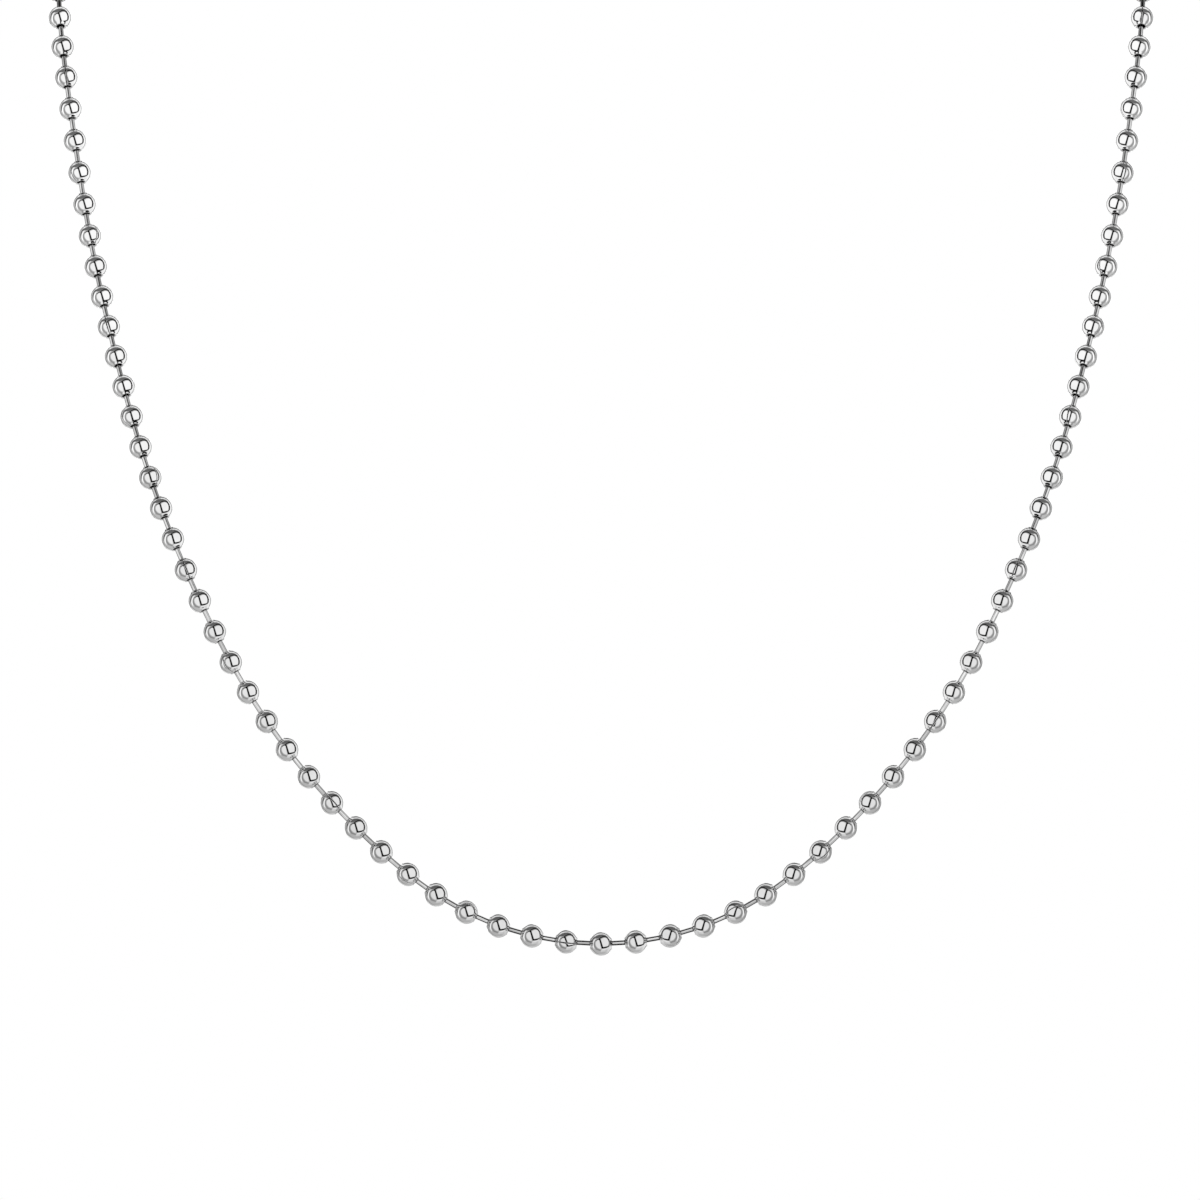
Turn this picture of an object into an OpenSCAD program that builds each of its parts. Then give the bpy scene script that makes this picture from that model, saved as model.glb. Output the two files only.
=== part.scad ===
// Ball chain necklace, held in the form in which it hangs round a neck.
// +Z is up and -Y is the wearer's front. The origin is where the clasp rests on the nape.

/* [Worn loop] */
// Width of the loop, between the centres of its outermost balls
loop_w = 147; // [110:1:190]
// Distance from the lowest ball, in front, back to the nape
loop_depth = 98; // [80:1:140]
// Height of the nape above the lowest ball
loop_rise = 146; // [100:1:220]

/* [Balls] */
// Outer diameter of a ball
ball_d = 3.15; // [2.6:0.05:4.5]
// Wall of a ball
ball_wall = 0.3; // [0.2:0.05:0.4]
// Free gap between neighbouring balls, along the chain
ball_gap = 1.55; // [1.2:0.05:3]
// Radius of the rolled lip round each hole of a ball
lip_r = 0.11; // [0.05:0.01:0.14]
// Width of the seam slit, halfway between a ball's holes
seam_w = 0.14; // [0.04:0.01:0.2]
// Turn of the seam about the chain from one ball to the next, in degrees
seam_step = 137.5; // [10:0.5:170]

/* [Links] */
// Diameter of a link's bar
bar_d = 0.65; // [0.5:0.05:0.75]
// Clearance round the bar in a ball's hole
bar_clear = 0.22; // [0.2:0.01:0.3]
// Diameter of a link's head, inside the ball
head_d = 1.3; // [1.2:0.05:1.5]
// Length of a link's head, along the bar
head_t = 0.4; // [0.25:0.05:0.5]
// Clearance between a head and the inside of its ball
head_clear = 0.15; // [0.1:0.01:0.25]

/* [Clasp] */
// Wall of the clasp's sleeve
clasp_wall = 0.4; // [0.3:0.05:0.6]
// Clearance between the sleeve and the two end balls
clasp_clear = 0.15; // [0.1:0.01:0.3]
// Outer radius of the sleeve's rounded ends
clasp_corner = 1.2; // [0.8:0.05:1.6]
// Clearance on each side of a bar in the sleeve's slot
slot_clear = 0.1; // [0.05:0.01:0.2]

/* [Hidden] */
$fn = 48;

// The half loop from the lowest ball round to the nape, as shares of the loop's sizes:
// side of half its width, back of its depth, up of its height
HALF_ROUTE = [
  // side, back, up
  [0.000, 0.000, 0.000],
  [0.249, 0.004, 0.029],
  [0.452, 0.014, 0.110],
  [0.617, 0.028, 0.208],
  [0.738, 0.053, 0.320],
  [0.828, 0.109, 0.431],
  [0.891, 0.189, 0.543],
  [0.941, 0.277, 0.654],
  [0.977, 0.346, 0.773],
  [1.000, 0.424, 0.872],
  [0.986, 0.550, 0.943],
  [0.898, 0.690, 0.979],
  [0.742, 0.818, 0.992],
  [0.527, 0.916, 0.998],
  [0.273, 0.980, 1.000],
  [0.000, 1.000, 1.000],
];
// Samples on each stretch of the curve, for measuring its length
SAMPLES = 12;
// Overrun of a cutting shape past the face that it cuts
CUT = 0.5;

ball_r = ball_d / 2;
inner_r = ball_r - ball_wall;
hole_r = bar_d / 2 + bar_clear;
bar_r = bar_d / 2;
head_r = head_d / 2;
seam_angle = seam_w / ball_r * 180 / PI;
sleeve_r = ball_r + clasp_clear + clasp_wall;
slot_w = bar_d + 2 * slot_clear;

// Centre of a lip, so that it rises half its radius out of the ball
lip_side = hole_r + lip_r;
lip_up = sqrt(pow(ball_r - lip_r / 2, 2) - pow(lip_side, 2));

// Middle of a head, measured from the ball's centre: its outer edge is head_clear from the shell
head_up = sqrt(pow(inner_r - head_clear, 2) - pow(head_r, 2) + pow(head_t / 2, 2)) - head_t / 2;

// The chain's centre line, a closed smooth curve through the route's points
function place(share) = [
  share.x * loop_w / 2,
  sleeve_r - (1 - share.y) * loop_depth,
  (share.z - 1) * loop_rise
];
half_points = [for (row = HALF_ROUTE) place(row)];
last = len(half_points) - 1;
points = concat(
  half_points,
  [for (i = [last - 1:-1:1]) [-half_points[i].x, half_points[i].y, half_points[i].z]]
);
stretches = len(points);
function point(i) = points[(i + stretches) % stretches];
// Control point that takes a cubic B-spline past its point, within a quarter of a millimetre
function control(i) = point(i) - (point(i - 1) - 2 * point(i) + point(i + 1)) / 6;
controls = [for (i = [0:stretches - 1]) control(i)];
function knot(i) = controls[(i + stretches) % stretches];
function curve(u) =
  let (i = floor(u), t = u - i)
  (pow(1 - t, 3) * knot(i - 1)
    + (3 * pow(t, 3) - 6 * pow(t, 2) + 4) * knot(i)
    + (-3 * pow(t, 3) + 3 * pow(t, 2) + 3 * t + 1) * knot(i + 1)
    + pow(t, 3) * knot(i + 2)) / 6;

// Length along the curve against the curve's parameter
samples = [for (k = [0:stretches * SAMPLES]) curve(k / SAMPLES)];
steps = [for (k = [1:stretches * SAMPLES]) norm(samples[k] - samples[k - 1])];
runs = [for (k = 0, run = 0; k <= len(steps); run = k < len(steps) ? run + steps[k] : run, k = k + 1) run];
length_table = [for (k = [0:len(steps)]) [runs[k], k / SAMPLES]];
chain_length = runs[len(steps)];

// An odd number of balls puts one at the middle of the front and the clasp between the two end balls
balls_count = 2 * round((chain_length / (ball_d + ball_gap) - 1) / 2) + 1;
pitch = chain_length / balls_count;
echo(chain_length = chain_length, balls_count = balls_count, pitch = pitch);

// Balls are numbered from one side of the clasp round to the other
function along_chain(i) = ((i + 0.5) * pitch + chain_length / 2) % chain_length;
centres = [for (i = [0:balls_count - 1]) curve(lookup(along_chain(i), length_table))];
function centre(i) = centres[(i + balls_count) % balls_count];

// Stands a child that points up along a direction, with its foot at a place
module stand(at, direction) {
  translate(at)
    rotate([0, acos(direction.z / norm(direction)), atan2(direction.y, direction.x)])
      children();
}

// Right half of a ball's wall, cut through its axis
module ball_section() {
  difference() {
    union() {
      circle(r = ball_r);
      for (end = [-1, 1]) translate([lip_side, end * lip_up]) circle(r = lip_r);
    }
    circle(r = inner_r);
    translate([hole_r - ball_d, -ball_d]) square([ball_d, 2 * ball_d]);
  }
}

// A shell bent round from strip, with the seam left open from hole to hole
module ball(turn) {
  rotate([0, 0, turn]) rotate_extrude(angle = 360 - seam_angle) ball_section();
}

module head_section() {
  intersection() {
    circle(d = head_d);
    translate([0, -head_t / 2]) square([head_d, head_t]);
  }
}

// A bar with a head on each end, for two ball centres that lie span apart
module link(span) {
  rotate_extrude() {
    translate([0, head_up]) square([bar_r, span - 2 * head_up]);
    translate([0, head_up]) head_section();
    translate([0, span - head_up]) head_section();
  }
}

// Right half of a round slug with rounded ends, cut through its axis
module slug_section(r, half_length, corner) {
  translate([0, -half_length]) square([r - corner, 2 * half_length]);
  translate([0, corner - half_length]) square([r, 2 * (half_length - corner)]);
  for (end = [-1, 1]) translate([r - corner, end * (half_length - corner)]) circle(r = corner);
}

module slug(r, half_length, corner) {
  rotate_extrude() intersection() {
    slug_section(r, half_length, corner);
    translate([0, -half_length]) square([r, 2 * half_length]);
  }
}

module balls() {
  color([0.80, 0.80, 0.80])
    for (i = [0:balls_count - 1])
      stand(centre(i), centre(i + 1) - centre(i - 1)) ball(i * seam_step);
}

module links() {
  color([0.77, 0.77, 0.77])
    for (i = [0:balls_count - 2])
      stand(centre(i), centre(i + 1) - centre(i)) link(norm(centre(i + 1) - centre(i)));
}

// A one-piece sleeve: a ball goes in at the mouth and slides to its end, while its bar follows the slot
module clasp() {
  half = norm(centre(0) - centre(-1)) / 2 + ball_r + clasp_clear + clasp_wall;
  color([0.78, 0.78, 0.78])
    stand([0, sleeve_r, centre(0).z], [1, 0, 0])
      difference() {
        slug(sleeve_r, half, clasp_corner);
        slug(sleeve_r - clasp_wall, half - clasp_wall, clasp_corner - clasp_wall);
        cylinder(r = hole_r, h = 2 * (half + CUT), center = true);
        translate([-slot_w / 2, 0, -half - CUT]) cube([slot_w, sleeve_r + CUT, 2 * (half + CUT)]);
        rotate([-90, 0, 0]) cylinder(r = ball_r + clasp_clear, h = sleeve_r + CUT);
      }
}

balls();
links();
clasp();
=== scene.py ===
# Ball chain necklace: the finish of every piece, the studio and the camera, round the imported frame.
# All sizes are in metres.
import math

import bpy
import numpy as np
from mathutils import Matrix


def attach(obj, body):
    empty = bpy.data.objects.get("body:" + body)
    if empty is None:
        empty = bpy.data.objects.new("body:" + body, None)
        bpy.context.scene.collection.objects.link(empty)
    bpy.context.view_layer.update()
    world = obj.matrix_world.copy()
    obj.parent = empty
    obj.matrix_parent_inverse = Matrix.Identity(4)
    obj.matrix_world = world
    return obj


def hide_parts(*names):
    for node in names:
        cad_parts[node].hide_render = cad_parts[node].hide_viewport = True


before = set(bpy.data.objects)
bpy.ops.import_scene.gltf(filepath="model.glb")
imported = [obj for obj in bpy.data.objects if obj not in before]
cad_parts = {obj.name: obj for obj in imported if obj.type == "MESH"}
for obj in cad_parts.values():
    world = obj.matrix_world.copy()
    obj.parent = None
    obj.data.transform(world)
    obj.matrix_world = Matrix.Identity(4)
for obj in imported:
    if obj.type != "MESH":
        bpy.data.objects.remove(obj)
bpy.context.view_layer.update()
print("frame loaded:", ", ".join(sorted(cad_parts)))

# The loop as it hangs. The rows follow the half from the lowest ball round to the nape.
loop = {
    "width": 0.147,  # between the centres of the outermost balls
    "depth": 0.098,  # from the lowest ball back to the nape
    "rise": 0.146,  # from the lowest ball up to the nape
    "napeY": 0.002125,  # how far the centre line lies behind the neck at the nape
    "wantedPitch": 0.0047,
    "samples": 12,  # on each stretch of the curve
    "halfRoute": [
        # side of half the width, back of the depth, up of the rise
        [0.000, 0.000, 0.000],
        [0.249, 0.004, 0.029],
        [0.452, 0.014, 0.110],
        [0.617, 0.028, 0.208],
        [0.738, 0.053, 0.320],
        [0.828, 0.109, 0.431],
        [0.891, 0.189, 0.543],
        [0.941, 0.277, 0.654],
        [0.977, 0.346, 0.773],
        [1.000, 0.424, 0.872],
        [0.986, 0.550, 0.943],
        [0.898, 0.690, 0.979],
        [0.742, 0.818, 0.992],
        [0.527, 0.916, 0.998],
        [0.273, 0.980, 1.000],
        [0.000, 1.000, 1.000],
    ],
}


def loopControls():
    # places from the shares, mirrored to the other half; each control lies off its place by a sixth of the
    # second difference there
    side, back, up = np.array(loop["halfRoute"]).T
    half = np.stack(
        [
            side * loop["width"] / 2,
            loop["napeY"] - (1 - back) * loop["depth"],
            (up - 1) * loop["rise"],
        ],
        axis=1,
    )
    places = np.concatenate([half, half[-2:0:-1] * [-1, 1, 1]])
    return places - (np.roll(places, 1, 0) - 2 * places + np.roll(places, -1, 0)) / 6


def curveAt(controls, u):
    # uniform cubic B-spline: four neighbouring controls, weighted by cubics of the way through the stretch
    i = np.floor(u).astype(int)
    t = (u - i)[:, None]
    count = len(controls)
    return (
        (1 - t) ** 3 * controls[(i - 1) % count]
        + (3 * t**3 - 6 * t**2 + 4) * controls[i % count]
        + (-3 * t**3 + 3 * t**2 + 3 * t + 1) * controls[(i + 1) % count]
        + t**3 * controls[(i + 2) % count]
    ) / 6


def ballCentres():
    # an odd number of equal steps along the curve's length, with the clasp's gap centred on the nape
    controls = loopControls()
    u = np.arange(len(controls) * loop["samples"] + 1) / loop["samples"]
    steps = np.linalg.norm(np.diff(curveAt(controls, u), axis=0), axis=1)
    run = np.concatenate([[0], np.cumsum(steps)])
    count = 2 * round((run[-1] / loop["wantedPitch"] - 1) / 2) + 1
    along = ((np.arange(count) + 0.5) * run[-1] / count + run[-1] / 2) % run[-1]
    return curveAt(controls, np.interp(along, run, u))


def standingAxes(direction):
    # local Z along the direction; local Y level; local X the third
    z = direction / np.linalg.norm(direction, axis=1, keepdims=True)
    level = np.hypot(z[:, 0], z[:, 1])
    y = np.stack([-z[:, 1] / level, z[:, 0] / level, np.zeros(len(z))], axis=1)
    return np.stack([np.cross(y, z), y, z], axis=1)


centres = ballCentres()
print("chain:", len(centres), "balls")

# In the photo the right half is a mirror image of the left one. It begins past this side, with the second
# ball to the right of the lowest one.
firstMirroredX = 0.007


def addPiece(name, points, faces, tints, material, nodeName, smoothDegrees):
    # one mesh from arrays; tints are named point attributes
    mesh = bpy.data.meshes.new(name)
    mesh.from_pydata(points.tolist(), [], faces)
    for label, values in tints.items():
        mesh.attributes.new(label, "FLOAT", "POINT").data.foreach_set("value", values.astype(np.float32))
    mesh.shade_smooth()
    mesh.set_sharp_from_angle(angle=math.radians(smoothDegrees))
    mesh.materials.append(material)
    piece = bpy.data.objects.new(name, mesh)
    bpy.context.scene.collection.objects.link(piece)
    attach(piece, "root")
    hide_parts(nodeName)
    print(name, "has", sum(len(f) - 2 for f in faces), "triangles")
    return piece


def repeatedFaces(faces, size, count):
    # one shape's faces for each of count shapes, their points' numbers moved on by the shapes before
    return [[i + size * k for i in face] for k in range(count) for face in faces]


# Shell of one ball, bent round from strip: rolled lips at both holes and an open seam between them
ball = {
    "radius": 0.001575,
    "wall": 0.0003,
    "holeRadius": 0.000545,
    "lipRadius": 0.00011,
    "seamWidth": 0.00014,
    "seamStep": 137.5,  # degrees about the chain from one ball to the next
    "seamEdge": 0.00003,  # rounding of the strip's two edges along the seam
    "roundedColumn": 0.6,  # distance of a rounding's middle column from its edge, in seamEdges
    "roundedDip": 0.3,  # that column's depth below the surface, in seamEdges
    "flatColumn": 2,  # distance of the first column on the surface itself, in seamEdges
    "columns": 24,
    "arcRows": 13,
    "lipRows": 5,
    "insideRows": 5,
    "smoothDegrees": 50,
    "rimUnpolished": 0.4,  # share of the unpolished finish at the inner rim of each hole
    "seamUnpolished": 0.8,  # and at the two edges of the seam
}


def ballRails():
    # two runs from the lower hole to the upper one, as (distance from the axis, height): the outside with
    # its lips, circles that meet the sphere's, and the inside
    r, lip = ball["radius"], ball["lipRadius"]
    lipSide = ball["holeRadius"] + lip
    lipUp = math.sqrt((r - lip / 2) ** 2 - lipSide**2)
    reach = math.hypot(lipSide, lipUp)
    tilt = math.asin(lipSide / reach)
    opening = math.acos((reach**2 + r**2 - lip**2) / (2 * reach * r))
    start = tilt + opening  # polar angle at which the lip leaves the sphere
    joinSide, joinUp = r * math.sin(start), r * math.cos(start)
    joinAngle = math.atan2(joinUp - lipUp, joinSide - lipSide)
    turn = np.linspace(math.pi, joinAngle, ball["lipRows"])
    upperLip = np.stack([lipSide + lip * np.cos(turn), lipUp + lip * np.sin(turn)], axis=1)
    arc = np.linspace(start, math.pi - start, ball["arcRows"])[1:-1]
    sphere = r * np.stack([np.sin(arc), np.cos(arc)], axis=1)
    outside = np.concatenate([upperLip, sphere, upperLip[::-1] * [1, -1]])[::-1]
    inner = r - ball["wall"]
    rim = math.asin(ball["holeRadius"] / inner)
    bow = np.linspace(math.pi - rim, rim, ball["insideRows"] + 1)
    inside = inner * np.stack([np.sin(bow), np.cos(bow)], axis=1)
    return outside, inside


def ballColumns():
    # angles about the axis from one edge of the seam to the other, and how far each column is rounded in
    # from the surface
    ease = ball["seamEdge"] / ball["radius"]
    end = 2 * math.pi - ball["seamWidth"] / ball["radius"]
    rounded, flat = ease * ball["roundedColumn"], ease * ball["flatColumn"]
    inner = np.linspace(flat, end - flat, ball["columns"] + 1)
    angles = np.concatenate([[0, rounded], inner, [end - rounded, end]])
    dip = np.zeros(len(angles))
    dip[[0, -1]] = ball["seamEdge"]
    dip[[1, -2]] = ball["seamEdge"] * ball["roundedDip"]
    return angles, dip


def sweptBalls(numbers):
    # every rail point carried round every column, for all of these balls at once
    outside, inside = ballRails()
    angles, dip = ballColumns()
    around = angles[None, :] + np.radians(numbers * ball["seamStep"])[:, None]
    direction = np.roll(centres, -1, 0) - np.roll(centres, 1, 0)
    axes = standingAxes(direction)[numbers]

    def carry(rail, dips):
        # each column's points drawn in towards the ball's centre by its dip
        shrink = 1 - dips / ball["radius"]
        side = rail[None, :, 0] * shrink[:, None]
        up = rail[None, :, 1] * shrink[:, None]
        local = np.stack(
            [
                side * np.cos(around)[:, :, None],
                side * np.sin(around)[:, :, None],
                np.broadcast_to(up, (len(numbers),) + up.shape),
            ],
            axis=-1,
        )
        return np.einsum("ncki,nij->nckj", local, axes) + centres[numbers][:, None, None, :]

    return carry(outside, dip), carry(inside, np.zeros(len(dip)))


def ballFaces(columns, outRows, inRows):
    # quads of the outside, the inside, both hole walls, and wedges that close the strip's two edges
    faces = []
    out = np.arange(columns * outRows).reshape(columns, outRows)
    inn = np.arange(columns * inRows).reshape(columns, inRows) + out.size

    def quads(a, b, c, d):
        faces.extend(np.stack([a.ravel(), b.ravel(), c.ravel(), d.ravel()], axis=1).tolist())

    quads(out[:-1, :-1], out[1:, :-1], out[1:, 1:], out[:-1, 1:])
    quads(inn[:-1, :-1], inn[:-1, 1:], inn[1:, 1:], inn[1:, :-1])
    quads(out[:-1, -1], out[1:, -1], inn[1:, -1], inn[:-1, -1])
    quads(out[1:, 0], out[:-1, 0], inn[:-1, 0], inn[1:, 0])
    cuts = np.linspace(0, outRows - 1, inRows).round().astype(int)
    for k in range(inRows - 1):
        strip = out[0, cuts[k] : cuts[k + 1] + 1].tolist()
        faces.append(strip + [int(inn[0, k + 1]), int(inn[0, k])])
        strip = out[-1, cuts[k] : cuts[k + 1] + 1].tolist()
        faces.append(strip[::-1] + [int(inn[-1, k]), int(inn[-1, k + 1])])
    return faces, out.size + inn.size


def addBalls(name, numbers, material):
    # all of these shells in one mesh, with what their finish needs to know at each point
    outside, inside = sweptBalls(numbers)
    count, columns, outRows = outside.shape[:3]
    inRows = inside.shape[2]
    faces, size = ballFaces(columns, outRows, inRows)
    shells = np.concatenate([outside.reshape(count, -1, 3), inside.reshape(count, -1, 3)], axis=1)
    # height as a share of the lips' own
    height = np.abs(ballRails()[0][:, 1])
    near = height / height.max()
    # the unpolished inside begins at the inner rim of each hole and at the two edges of the seam
    atRim = np.zeros(outRows)
    atRim[[0, -1]] = ball["rimUnpolished"]
    atSeam = ball["seamUnpolished"] * (ballColumns()[1] / ball["seamEdge"])
    unpolished = np.maximum(atRim[None, :], atSeam[:, None])
    allInside = np.ones(columns * inRows)
    tints = {
        "holeNearness": np.tile(np.concatenate([np.tile(near, columns), allInside]), count),
        "unpolished": np.tile(np.concatenate([unpolished.ravel(), allInside]), count),
        "ballNumber": np.repeat(numbers / len(centres), size),
    }
    return addPiece(
        name,
        shells.reshape(-1, 3),
        repeatedFaces(faces, size, count),
        tints,
        material,
        "balls",
        ball["smoothDegrees"],
    )


# One link: a bar between two balls with a flat head in each
link = {
    "barRadius": 0.000325,
    "headRadius": 0.00065,
    "headThickness": 0.0004,
    "headClear": 0.00015,  # from a head to the inside of its ball
    "footRadius": 1.25,  # of the small slope where a bar meets its head, in bar radii
    "footLength": 0.25,  # of that slope, in bar radii
    "sides": 16,
    "smoothDegrees": 40,
}


def linkProfile(span):
    # (distance from the axis, height) from one end to the other; heights near the far end are counted back
    # from the span
    inner = ball["radius"] - ball["wall"] - link["headClear"]
    half = link["headThickness"] / 2
    headUp = math.sqrt(inner**2 - link["headRadius"] ** 2 + half**2) - half
    edge = math.sqrt(link["headRadius"] ** 2 - half**2)
    bar = link["barRadius"]
    near = np.array(
        [
            [edge, -half],
            [link["headRadius"], 0],
            [edge, half],
            [bar * link["footRadius"], half],
            [bar, half + bar * link["footLength"]],
        ]
    )
    near[:, 1] += headUp
    side = np.concatenate([near[:, 0], near[::-1, 0]])
    up = np.concatenate(
        [np.tile(near[:, 1], (len(span), 1)), span[:, None] - near[::-1, 1][None, :]], axis=1
    )
    return side, up


def addLinks(name, numbers, material):
    # the profile carried round the sides, for all of these links at once
    reach = centres[numbers + 1] - centres[numbers]
    span = np.linalg.norm(reach, axis=1)
    axes = standingAxes(reach)
    side, up = linkProfile(span)
    rows, sides, count = len(side), link["sides"], len(numbers)
    shape = (count, sides, rows)
    turn = np.arange(sides) * 2 * math.pi / sides
    local = np.stack(
        [
            np.broadcast_to(side * np.cos(turn)[:, None], shape),
            np.broadcast_to(side * np.sin(turn)[:, None], shape),
            np.broadcast_to(up[:, None, :], shape),
        ],
        axis=-1,
    )
    points = np.einsum("nski,nij->nskj", local, axes) + centres[numbers][:, None, None, :]
    grid = np.arange(sides * rows).reshape(sides, rows)
    after = np.roll(grid, -1, 0)
    quads = np.stack([grid[:, :-1], after[:, :-1], after[:, 1:], grid[:, 1:]], axis=-1)
    faces = quads.reshape(-1, 4).tolist() + [grid[::-1, 0].tolist(), grid[:, -1].tolist()]
    # how far along a link, as a share of its span, and how far round it, back and forth from 1 to 0
    along = up[:, None, :] / span[:, None, None]
    around = np.abs(turn / math.pi - 1)[:, None]
    tints = {
        "along": np.broadcast_to(along, shape).ravel(),
        "around": np.broadcast_to(around, shape).ravel(),
        "linkNumber": np.repeat(numbers / len(centres), sides * rows),
    }
    return addPiece(
        name,
        points.reshape(-1, 3),
        repeatedFaces(faces, sides * rows, count),
        tints,
        material,
        "links",
        link["smoothDegrees"],
    )


# Finishes. Every one is neutral grey, so single numbers go to the colour sockets.


def plug(tree, value, socket):
    # a number is set on the socket and an output is linked to it
    if isinstance(value, (int, float)):
        socket.default_value = value
    else:
        tree.links.new(value, socket)


def mathNode(tree, operation, first, second=0.0):
    node = tree.nodes.new("ShaderNodeMath")
    node.operation = operation
    plug(tree, first, node.inputs[0])
    plug(tree, second, node.inputs[1])
    return node.outputs["Value"]


def spread(tree, value, source, target):
    # smooth step from one range to another, held at its ends
    node = tree.nodes.new("ShaderNodeMapRange")
    node.interpolation_type = "SMOOTHSTEP"
    plug(tree, value, node.inputs["Value"])
    plug(tree, source[0], node.inputs["From Min"])
    plug(tree, source[1], node.inputs["From Max"])
    plug(tree, target[0], node.inputs["To Min"])
    plug(tree, target[1], node.inputs["To Max"])
    return node.outputs["Result"]


def blend(tree, share, first, second):
    node = tree.nodes.new("ShaderNodeMix")
    plug(tree, share, node.inputs["Factor"])
    plug(tree, first, node.inputs["A"])
    plug(tree, second, node.inputs["B"])
    return node.outputs["Result"]


def noise(tree, vector, scale, detail):
    node = tree.nodes.new("ShaderNodeTexNoise")
    node.inputs["Scale"].default_value = scale
    node.inputs["Detail"].default_value = detail
    tree.links.new(vector, node.inputs["Vector"])
    return node.outputs["Fac"]


def attribute(tree, label):
    node = tree.nodes.new("ShaderNodeAttribute")
    node.attribute_name = label
    return node.outputs["Fac"]


chanceMultiple = 7321.7


def chanceOf(tree, number):
    # one chance value for each ball or bar: the fraction of a large multiple of its number
    return mathNode(tree, "FRACT", mathNode(tree, "MULTIPLY", attribute(tree, number), chanceMultiple))


def lessened(tree, lost, grey):
    # a grey without the share of it that is lost
    return mathNode(tree, "MULTIPLY", mathNode(tree, "SUBTRACT", 1.0, lost), grey)


def startMetal(name):
    material = bpy.data.materials.new(name)
    material.use_nodes = True
    material.node_tree.nodes["Principled BSDF"].inputs["Metallic"].default_value = 1.0
    return material


def finishMetal(material, tone, roughness, height, distance, under=None):
    # bump distance is in metres
    tree = material.node_tree
    shader = tree.nodes["Principled BSDF"]
    bump = tree.nodes.new("ShaderNodeBump")
    bump.inputs["Distance"].default_value = distance
    tree.links.new(height, bump.inputs["Height"])
    if under:
        tree.links.new(under, bump.inputs["Normal"])
    tree.links.new(bump.outputs["Normal"], shader.inputs["Normal"])
    plug(tree, tone, shader.inputs["Base Color"])
    plug(tree, roughness, shader.inputs["Roughness"])
    return material


# Tumble-polished balls: mirror-bright, faintly uneven, darkened round the holes by grime and painted shade,
# and unpolished inside.
# A range whose name ends in Noise holds the noise values between which its mark sets in.
steel = {
    "grey": 0.62,
    # painted shade: the balls are darker towards the lowest one, between these heights and shares
    "shadeHeights": [-0.146, -0.04],  # the photographed chain is duller towards its lowest ball
    "shadeShares": [1.0, 1.26],
    "ballVariation": 0.05,
    "smudgeScale": 900,  # smudges of about a millimetre
    "smudgeDetail": 4,
    "smudgeNoise": [0.4, 0.7],
    "smudgeDarkening": 0.05,
    "hazeNoise": [0.35, 0.65],
    "hazeRoughness": [0.025, 0.06],
    "grimeAndShadeNearness": [0.94, 0.985],  # to a hole
    "grimeAndShadeDarkening": 0.2,
    "patchNoise": [0.3, 0.6],
    "patchShares": [0.5, 1.0],  # of the grime and painted shade round the holes, which lie in patches
    "buffScale": 16000,  # marks of a few hundredths of a millimetre
    "buffDetail": 2,
    "buffHeight": 0.0000004,
    "insideGrey": 0.7,
    "insideRoughness": 0.4,
}


def polishedSteelFinish():
    material = startMetal("polishedSteel")
    tree = material.node_tree
    place = tree.nodes.new("ShaderNodeTexCoord").outputs["Object"]
    smudge = noise(tree, place, steel["smudgeScale"], steel["smudgeDetail"])
    buff = noise(tree, place, steel["buffScale"], steel["buffDetail"])
    inside = attribute(tree, "unpolished")
    varied = mathNode(tree, "MULTIPLY", chanceOf(tree, "ballNumber"), steel["ballVariation"])
    smudged = spread(tree, smudge, steel["smudgeNoise"], [0.0, steel["smudgeDarkening"]])
    nearness = attribute(tree, "holeNearness")
    # painted shade and grime: darker close to each hole, where the bar goes in, in patches
    grimeAndShade = spread(tree, nearness, steel["grimeAndShadeNearness"], [0.0, steel["grimeAndShadeDarkening"]])
    patches = spread(tree, smudge, steel["patchNoise"], steel["patchShares"])
    lost = mathNode(tree, "ADD", varied, smudged)
    lost = mathNode(tree, "ADD", lost, mathNode(tree, "MULTIPLY", grimeAndShade, patches))
    height = tree.nodes.new("ShaderNodeSeparateXYZ")
    tree.links.new(place, height.inputs["Vector"])
    # painted shade: the balls' tone is darker towards the lowest ball
    shade = spread(tree, height.outputs["Z"], steel["shadeHeights"], steel["shadeShares"])
    tone = mathNode(tree, "MULTIPLY", lessened(tree, lost, steel["grey"]), shade)
    tone = blend(tree, inside, tone, steel["insideGrey"])
    haze = spread(tree, smudge, steel["hazeNoise"], steel["hazeRoughness"])
    roughness = blend(tree, inside, haze, steel["insideRoughness"])
    return finishMetal(material, tone, roughness, buff, steel["buffHeight"])


# Drawn wire: streaks along each bar, darkened by wear and painted shade where it goes into the holes
wire = {
    "grey": 0.62,
    "barVariation": 0.35,
    "variedChances": [0.3, 1.0],  # chance values between which whole bars grow darker
    "streaksAround": 9.0,
    "streaksAlong": 2.2,
    "streakMultiple": 611.3,  # of a bar's number, so that no two bars have the same streaks
    "streakDetail": 3,
    "streakNoise": [0.45, 0.65],
    "streakDarkening": 0.35,
    "streakHeight": 0.000012,
    "roughNoise": [0.3, 0.7],
    "roughness": [0.07, 0.22],
    "wornAndShaded": [0.15, 0.18],  # distances from a bar's middle, in spans, between which its worn ends with painted shade begin
    "wearAndShadeDarkening": 0.85,
}


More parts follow.
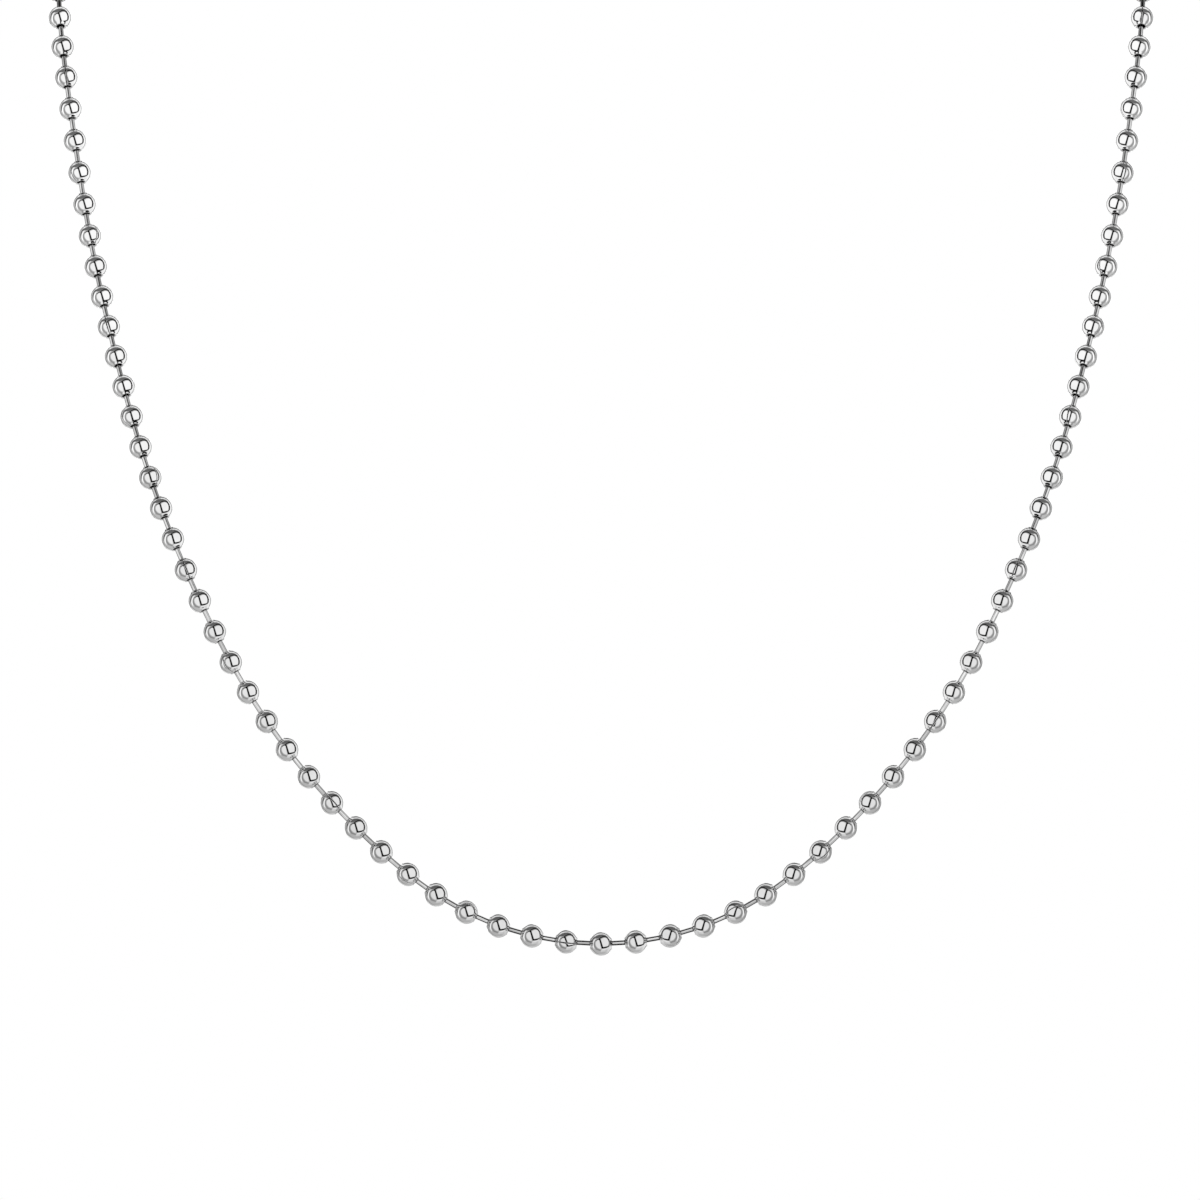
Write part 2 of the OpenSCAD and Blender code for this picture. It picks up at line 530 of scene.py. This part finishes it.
def brightWireFinish():
    material = startMetal("brightWire")
    tree = material.node_tree
    along = attribute(tree, "along")
    # streaks: noise over (along, around, number), much finer around than along
    join = tree.nodes.new("ShaderNodeCombineXYZ")
    plug(tree, mathNode(tree, "MULTIPLY", along, wire["streaksAlong"]), join.inputs["X"])
    around = mathNode(tree, "MULTIPLY", attribute(tree, "around"), wire["streaksAround"])
    plug(tree, around, join.inputs["Y"])
    number = mathNode(tree, "MULTIPLY", attribute(tree, "linkNumber"), wire["streakMultiple"])
    plug(tree, number, join.inputs["Z"])
    streak = noise(tree, join.outputs["Vector"], 1.0, wire["streakDetail"])
    offMiddle = mathNode(tree, "ABSOLUTE", mathNode(tree, "SUBTRACT", along, 0.5))
    # painted shade and wear: each bar darkens towards its ends, where they go into the holes
    wearAndShade = spread(tree, offMiddle, wire["wornAndShaded"], [0.0, wire["wearAndShadeDarkening"]])
    varied = spread(tree, chanceOf(tree, "linkNumber"), wire["variedChances"], [0.0, wire["barVariation"]])
    streaked = spread(tree, streak, wire["streakNoise"], [0.0, wire["streakDarkening"]])
    lost = mathNode(tree, "MAXIMUM", mathNode(tree, "MAXIMUM", wearAndShade, streaked), varied)
    tone = lessened(tree, lost, wire["grey"])
    roughness = spread(tree, streak, wire["roughNoise"], wire["roughness"])
    return finishMetal(material, tone, roughness, streak, wire["streakHeight"])


# Pressed sleeve: finer brushing, edges rounded in the shading, smudged by fingers
sleeve = {
    "grey": 0.60,
    "smudgeScale": 500,
    "smudgeDetail": 4,
    "smudgeNoise": [0.4, 0.7],
    "smudgeDarkening": 0.12,
    "hazeNoise": [0.35, 0.65],
    "hazeRoughness": [0.07, 0.2],
    "brushScale": 5000,
    "brushDetail": 2,
    "brushStretch": 0.04,  # along the sleeve, against across it
    "brushHeight": 0.000001,
    "edgeRadius": 0.00006,
}


def claspSteelFinish():
    material = startMetal("claspSteel")
    tree = material.node_tree
    place = tree.nodes.new("ShaderNodeTexCoord").outputs["Object"]
    stretch = tree.nodes.new("ShaderNodeMapping")
    stretch.inputs["Scale"].default_value = (sleeve["brushStretch"], 1, 1)
    tree.links.new(place, stretch.inputs["Vector"])
    brushed = noise(tree, stretch.outputs["Vector"], sleeve["brushScale"], sleeve["brushDetail"])
    smudge = noise(tree, place, sleeve["smudgeScale"], sleeve["smudgeDetail"])
    edge = tree.nodes.new("ShaderNodeBevel")
    edge.inputs["Radius"].default_value = sleeve["edgeRadius"]
    lost = spread(tree, smudge, sleeve["smudgeNoise"], [0.0, sleeve["smudgeDarkening"]])
    tone = lessened(tree, lost, sleeve["grey"])
    roughness = spread(tree, smudge, sleeve["hazeNoise"], sleeve["hazeRoughness"])
    return finishMetal(material, tone, roughness, brushed, sleeve["brushHeight"], edge.outputs["Normal"])


polishedSteel = polishedSteelFinish()
brightWire = brightWireFinish()
ballNumbers = np.arange(len(centres))
mirrored = centres[:, 0] > firstMirroredX
linkNumbers = ballNumbers[:-1]
linkMirrored = (centres[:-1, 0] + centres[1:, 0]) / 2 > firstMirroredX
ballsLeft = addBalls("balls_left", ballNumbers[~mirrored], polishedSteel)
ballsRight = addBalls("balls_right", ballNumbers[mirrored], polishedSteel)
linksLeft = addLinks("links_left", linkNumbers[~linkMirrored], brightWire)
linksRight = addLinks("links_right", linkNumbers[linkMirrored], brightWire)
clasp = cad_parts["clasp"]
clasp.data.materials.clear()
clasp.data.materials.append(claspSteelFinish())
print("clasp finished")

# Studio: light tents that only the metal sees. The photo's halves mirror each other, so each half of the
# chain has its own tent, and the bars have a third one.
tent = {
    "radius": 3.0,
    "shells": 3,
    "shellStep": 0.02,  # each further shell's extra radius, as a share
    "middle": [0.0, -0.05, -0.08],
    "columns": 512,
    "rows": 256,
    "least": 1e-4,  # keeps roots and divisors off zero
    "gamma": 2.2,  # of the finished picture
}

# What a ball shows, on its disc as seen from the front: side and height in radii, greys of the finished
# picture
ballPattern = {
    "size": 0.955,  # of the whole pattern, against the disc
    "base": 0.69,
    "rightLift": 0.22,  # paler to the right
    "liftSide": 0.55,  # at which half of that is reached
    "liftBlur": 0.6,
    "rimFrom": 0.92,
    "rimBlur": 0.1,
    "rimGrey": 0.74,
    "rimSwing": 0.16,  # paler on one side of the rim and darker on the other
    "rimTurn": 0.3,  # its palest place, in radians up from the right
    "strokes": [
        # grey, blur, brush path as (side, height, width)
        # the pale band along the upper rim
        [0.92, 0.08, [(-0.55, 0.7, 0.07), (-0.3, 0.85, 0.12), (0, 0.89, 0.14), (0.3, 0.85, 0.14),
                      (0.55, 0.72, 0.1)]],
        # the shade along the lower left rim
        [0.51, 0.10, [(-0.95, -0.05, 0.06), (-0.9, -0.3, 0.1), (-0.74, -0.6, 0.12), (-0.45, -0.84, 0.1),
                      (-0.15, -0.96, 0.06)]],
        # two pale patches under the right window
        [0.93, 0.10, [(0.1, -0.52, 0.08), (0.35, -0.48, 0.12), (0.6, -0.4, 0.04)]],
        [0.84, 0.16, [(0.05, -0.64, 0.14), (0.35, -0.62, 0.1)]],
        # the cap over both windows
        [0.37, 0.06, [(-0.56, 0.5, 0.1), (-0.37, 0.61, 0.26), (-0.11, 0.69, 0.3), (0.13, 0.73, 0.25),
                      (0.38, 0.7, 0.17), (0.58, 0.58, 0.1)]],
        # the dark frame over the right window and right of it
        [0.12, 0.06, [(-0.1, 0.5, 0.07), (0.02, 0.56, 0.09), (0.16, 0.63, 0.11), (0.36, 0.64, 0.1),
                      (0.54, 0.56, 0.08)]],
        [0.06, 0.04, [(0.52, 0.58, 0.11), (0.68, 0.38, 0.13), (0.755, 0.12, 0.13), (0.74, -0.12, 0.12),
                      (0.66, -0.25, 0.08)]],
        # the grey surround of the left window, darker over it
        [0.52, 0.08, [(-0.47, 0.34, 0.08), (-0.59, 0.1, 0.1), (-0.56, -0.19, 0.12), (-0.38, -0.47, 0.13),
                      (-0.06, -0.58, 0.1)]],
        [0.28, 0.05, [(-0.44, 0.27, 0.05), (-0.34, 0.37, 0.08), (-0.2, 0.42, 0.12), (-0.1, 0.46, 0.12)]],
        # the white crescent left of it, and the dark line outside that
        [0.98, 0.05, [(-0.46, 0.46, 0.04), (-0.59, 0.34, 0.07), (-0.69, 0.1, 0.1), (-0.71, -0.12, 0.11),
                      (-0.66, -0.32, 0.08), (-0.58, -0.48, 0.03)]],
        [0.28, 0.05, [(-0.5, 0.62, 0.06), (-0.66, 0.5, 0.09), (-0.77, 0.3, 0.09), (-0.81, 0.08, 0.08),
                      (-0.81, -0.14, 0.04)]],
        # the black bar between the windows and the line under the right one
        [0.0, 0.04, [(-0.13, 0.42, 0.15), (0.01, 0.03, 0.13), (0.12, -0.34, 0.14)]],
        [0.0, 0.04, [(0.12, -0.36, 0.12), (0.3, -0.345, 0.12), (0.5, -0.3, 0.11), (0.64, -0.24, 0.07)]],
    ],
    "windows": [
        # grey, corners anticlockwise
        [0.90, [(0.19, -0.29), (0.6, -0.2), (0.69, 0.02), (0.67, 0.3), (0.52, 0.53), (0.25, 0.56),
                (0, 0.4)]],
        [0.88, [(0.01, -0.45), (-0.14, 0.34), (-0.27, 0.36), (-0.42, 0.24), (-0.5, 0.02), (-0.44, -0.2),
                (-0.28, -0.38), (-0.08, -0.46)]],
    ],
    "windowRounding": 0.03,
    "windowBlur": 0.04,
}

# The same for directions behind the chain, on the disc as seen from the back
backPattern = {
    "reach": 0.44,
    "reachBlur": 0.1,
    "base": 0.66,
    "strokes": [
        # the pale band below and the cap above
        [0.90, 0.06, [(-0.3, -0.26, 0.06), (0, -0.36, 0.08), (0.3, -0.26, 0.06)]],
        [0.30, 0.05, [(-0.3, 0.22, 0.08), (0, 0.34, 0.14), (0.3, 0.22, 0.08)]],
        # the frame round both windows and the bar between them
        [0.25, 0.03, [(-0.26, 0.2, 0.08), (-0.29, -0.14, 0.08), (0.27, -0.17, 0.08), (0.26, 0.2, 0.08),
                      (-0.26, 0.2, 0.08)]],
        [0.25, 0.03, [(-0.03, 0.2, 0.05), (0.03, -0.16, 0.05)]],
    ],
    "windows": [
        [0.97, [(-0.27, -0.13), (-0.02, -0.14), (-0.06, 0.2), (-0.24, 0.18)]],
        [0.97, [(0.06, -0.14), (0.25, -0.16), (0.24, 0.19), (0, 0.21)]],
    ],
    "windowRounding": 0.02,
    "windowBlur": 0.03,
}

# What a bar shows across its width, at the same places: pale between two dark lines, or dark in the middle
# where the bar leans back
barPattern = {
    "base": 0.80,
    "strokes": [
        [0.94, 0.14, [(-0.6, 0.18, 0.26), (0.6, 0.18, 0.26)]],
        [1.0, 0.10, [(-0.5, 0.09, 0.12), (0.5, 0.09, 0.12)]],
        # the dark middle of a bar that leans back
        [0.36, 0.20, [(-0.14, 0.43, 0.28), (0.14, 0.43, 0.28)]],
    ],
    "windows": [],
    "sideRing": [0.80, 0.99],  # the dark ring's inner and outer radius at its sides, top and bottom
    "topRing": [0.46, 0.86],
    "bottomRing": [0.42, 0.96],
    "ringPower": 4,
    "sideGrey": 0.44,
    "endGrey": 0.04,
    "ringLift": 0.05,  # lighter towards the right
    "ringBlur": 0.08,
    "edgeGrey": 0.78,
}


def softStep(distance, blur):
    # from 0 to 1 over the blur, centred on no distance, by three squares less two cubes of the way
    t = np.clip(distance / blur + 0.5, 0, 1)
    return t * t * (3 - 2 * t)


def towards(tone, grey, share):
    return tone + (grey - tone) * share


def brush(u, v, path, blur):
    # inside a line drawn with a brush that runs straight from each row of its path to the next
    depth = np.full(u.shape, -np.inf)
    for (u0, v0, w0), (u1, v1, w1) in zip(path[:-1], path[1:]):
        du, dv = u1 - u0, v1 - v0
        way = np.clip(((u - u0) * du + (v - v0) * dv) / (du**2 + dv**2), 0, 1)
        away = np.hypot(u - u0 - way * du, v - v0 - way * dv)
        depth = np.maximum(depth, (w0 + (w1 - w0) * way) / 2 - away)
    return softStep(depth, blur)


def window(u, v, corners, rounding, blur):
    # inside a straight-sided patch; the soft minimum of the distances from its sides rounds its corners
    total = np.zeros(u.shape)
    for (u0, v0), (u1, v1) in zip(corners, corners[1:] + corners[:1]):
        du, dv = u1 - u0, v1 - v0
        inward = (du * (v - v0) - dv * (u - u0)) / math.hypot(du, dv)
        total = total + np.exp(-np.clip(inward, -1, 1) / rounding)
    return softStep(-rounding * np.log(total), blur)


def painted(tone, u, v, pattern):
    # every stroke and then every window over what is there
    for grey, blur, path in pattern["strokes"]:
        tone = towards(tone, grey, brush(u, v, path, blur))
    for grey, corners in pattern["windows"]:
        inside = window(u, v, corners, pattern["windowRounding"], pattern["windowBlur"])
        tone = towards(tone, grey, inside)
    return tone


def tentDirections():
    # sphere grid: polar angle down from +Z by rows, angle about Z by columns
    polar = np.linspace(0, math.pi, tent["rows"] + 1)[:, None]
    around = np.linspace(0, 2 * math.pi, tent["columns"], endpoint=False)[None, :]
    x = np.sin(polar) * np.cos(around)
    y = np.sin(polar) * np.sin(around)
    return np.stack([x, y, np.broadcast_to(np.cos(polar), x.shape)], axis=-1)


def discPlaces(directions, viewerSide):
    # a ball shows a direction where its surface points halfway between that and the viewer: its side and
    # height, each over the root of twice the sum of one and its part towards the viewer
    x, y, z = np.moveaxis(directions, -1, 0)
    root = np.sqrt(2 * np.maximum(1 + viewerSide * y, tent["least"]))
    return x / root, z / root


def ballTone(u, v, backU, backV):
    # the base, then the rim, the strokes and the windows over it, and the back's pattern over directions
    # behind
    u, v = u / ballPattern["size"], v / ballPattern["size"]
    lift = softStep(u - ballPattern["liftSide"], ballPattern["liftBlur"])
    tone = ballPattern["base"] + ballPattern["rightLift"] * lift
    swing = np.cos(np.arctan2(v, u) - ballPattern["rimTurn"])
    rim = ballPattern["rimGrey"] + ballPattern["rimSwing"] * swing
    tone = towards(tone, rim, softStep(np.hypot(u, v) - ballPattern["rimFrom"], ballPattern["rimBlur"]))
    tone = painted(tone, u, v, ballPattern)
    behind = painted(np.full(u.shape, backPattern["base"]), backU, backV, backPattern)
    share = softStep(backPattern["reach"] - np.hypot(backU, backV), backPattern["reachBlur"])
    return towards(tone, behind, share)


def barTone(u, v):
    # the ring goes from its sides' radii and grey to those of its top or bottom with a high power of the
    # height
    radius = np.hypot(u, v)
    steep = (v / np.maximum(radius, tent["least"])) ** barPattern["ringPower"]
    sides, top, bottom = [
        np.array(barPattern[part])[:, None, None] for part in ("sideRing", "topRing", "bottomRing")
    ]
    inner, outer = towards(sides, np.where(v > 0, top, bottom), steep)
    tone = painted(np.full(u.shape, barPattern["base"]), u, v, barPattern)
    dark = towards(barPattern["sideGrey"], barPattern["endGrey"], steep)
    dark = dark + barPattern["ringLift"] * (1 + u)
    tone = towards(tone, dark, softStep(radius - inner, barPattern["ringBlur"]))
    return towards(tone, barPattern["edgeGrey"], softStep(radius - outer, barPattern["ringBlur"]))


def tentDome(name, directions, tone, receivers, shell):
    # every shell but the outermost one lets rays through
    rows, columns = tent["rows"], tent["columns"]
    radius = tent["radius"] * (1 + tent["shellStep"] * shell)
    points = radius * directions.reshape(-1, 3) + np.array(tent["middle"])
    grid = np.arange((rows + 1) * columns).reshape(rows + 1, columns)
    after = np.roll(grid, -1, 1)
    faces = np.stack([grid[:-1], grid[1:], after[1:], after[:-1]], axis=-1).reshape(-1, 4)
    mesh = bpy.data.meshes.new(name)
    mesh.from_pydata(points.tolist(), [], faces.tolist())
    # light that polished steel shows as this grey
    glow = np.maximum(tone, 0) ** tent["gamma"] / steel["grey"]
    mesh.attributes.new("glow", "FLOAT", "POINT").data.foreach_set("value", glow.ravel().astype(np.float32))
    material = bpy.data.materials.new(name)
    material.use_nodes = True
    tree = material.node_tree
    tree.nodes.remove(tree.nodes["Principled BSDF"])
    emission = tree.nodes.new("ShaderNodeEmission")
    plug(tree, attribute(tree, "glow"), emission.inputs["Strength"])
    light = emission.outputs[0]
    if shell < tent["shells"] - 1:
        add = tree.nodes.new("ShaderNodeAddShader")
        tree.links.new(light, add.inputs[0])
        tree.links.new(tree.nodes.new("ShaderNodeBsdfTransparent").outputs[0], add.inputs[1])
        light = add.outputs[0]
    tree.links.new(light, tree.nodes["Material Output"].inputs["Surface"])
    material.cycles.emission_sampling = "NONE"
    mesh.materials.append(material)
    dome = bpy.data.objects.new(name, mesh)
    bpy.context.scene.collection.objects.link(dome)
    dome.visible_camera = False
    dome.visible_diffuse = False
    dome.visible_shadow = False
    lit = bpy.data.collections.new(name + "Lights")
    for piece in receivers:
        lit.objects.link(piece)
    dome.light_linking.receiver_collection = lit


directions = tentDirections()
frontU, frontV = discPlaces(directions, -1)
backU, backV = discPlaces(directions, 1)
tentDome("tentLeft", directions, ballTone(frontU, frontV, backU, backV), [ballsLeft, clasp], 0)
tentDome("tentRight", directions, ballTone(-frontU, frontV, -backU, backV), [ballsRight], 1)
tentDome("tentBars", directions, barTone(frontU, frontV), [linksLeft, linksRight], 2)
print("light tents painted")

# Pale floor under a white surround
room = {
    "floorRadius": 4.5,
    "fadeFrom": 1.5,  # distance from the middle at which the floor begins to pale into the surround
    "floorZ": -0.26,
    "floorGrey": 0.66,
    "floorSides": 96,
    "grainScale": 40,
    "grainDetail": 3,
    "grainNoise": [0.3, 0.7],
    "grainDarkening": 0.01,
}


def paleFloorFinish():
    # a faint grain, paling into the surround with the distance from the middle
    material = bpy.data.materials.new("paleFloor")
    material.use_nodes = True
    tree = material.node_tree
    place = tree.nodes.new("ShaderNodeTexCoord").outputs["Object"]
    grain = noise(tree, place, room["grainScale"], room["grainDetail"])
    greys = [room["floorGrey"] - room["grainDarkening"], room["floorGrey"]]
    reach = tree.nodes.new("ShaderNodeVectorMath")
    reach.operation = "LENGTH"
    tree.links.new(place, reach.inputs[0])
    paling = spread(tree, reach.outputs["Value"], [room["fadeFrom"], room["floorRadius"]], [0.0, 1.0])
    tone = blend(tree, paling, spread(tree, grain, room["grainNoise"], greys), 1.0)
    shader = tree.nodes["Principled BSDF"]
    plug(tree, tone, shader.inputs["Base Color"])
    shader.inputs["Roughness"].default_value = 1.0
    shader.inputs["Specular IOR Level"].default_value = 0.0
    return material


turn = np.linspace(0, 2 * math.pi, room["floorSides"], endpoint=False)
rim = np.stack(
    [
        room["floorRadius"] * np.cos(turn),
        room["floorRadius"] * np.sin(turn),
        np.full(room["floorSides"], room["floorZ"]),
    ],
    axis=1,
)
floorMesh = bpy.data.meshes.new("floor")
floorMesh.from_pydata(rim.tolist(), [], [list(range(room["floorSides"]))])
floorMesh.materials.append(paleFloorFinish())
floor = bpy.data.objects.new("floor", floorMesh)
bpy.context.scene.collection.objects.link(floor)
floor.visible_glossy = False

world = bpy.data.worlds.new("whiteSurround")
bpy.context.scene.world = world
world.use_nodes = True
world.node_tree.nodes["Background"].inputs["Color"].default_value = (1, 1, 1, 1)
world.cycles_visibility.glossy = False
bpy.context.scene.view_settings.view_transform = "Standard"
print("floor and white surround laid")

# Camera: level, straight in front, far enough away for the picture's flat look
view = {
    "distance": 5.5,  # to the part that shows
    "pictureWidth": 0.1621,  # at that part
    "middleX": -0.00013,
    "middleZ": -0.09965,
    "focusY": -0.078,
    "sensorWidth": 36,  # millimetres
}
lens = bpy.data.cameras.new("camera")
lens.sensor_width = view["sensorWidth"]
lens.lens = view["sensorWidth"] * view["distance"] / view["pictureWidth"]
camera = bpy.data.objects.new("camera", lens)
camera.location = (view["middleX"], view["focusY"] - view["distance"], view["middleZ"])
camera.rotation_euler = (math.pi / 2, 0, 0)
bpy.context.scene.collection.objects.link(camera)
bpy.context.scene.camera = camera
print("camera set")
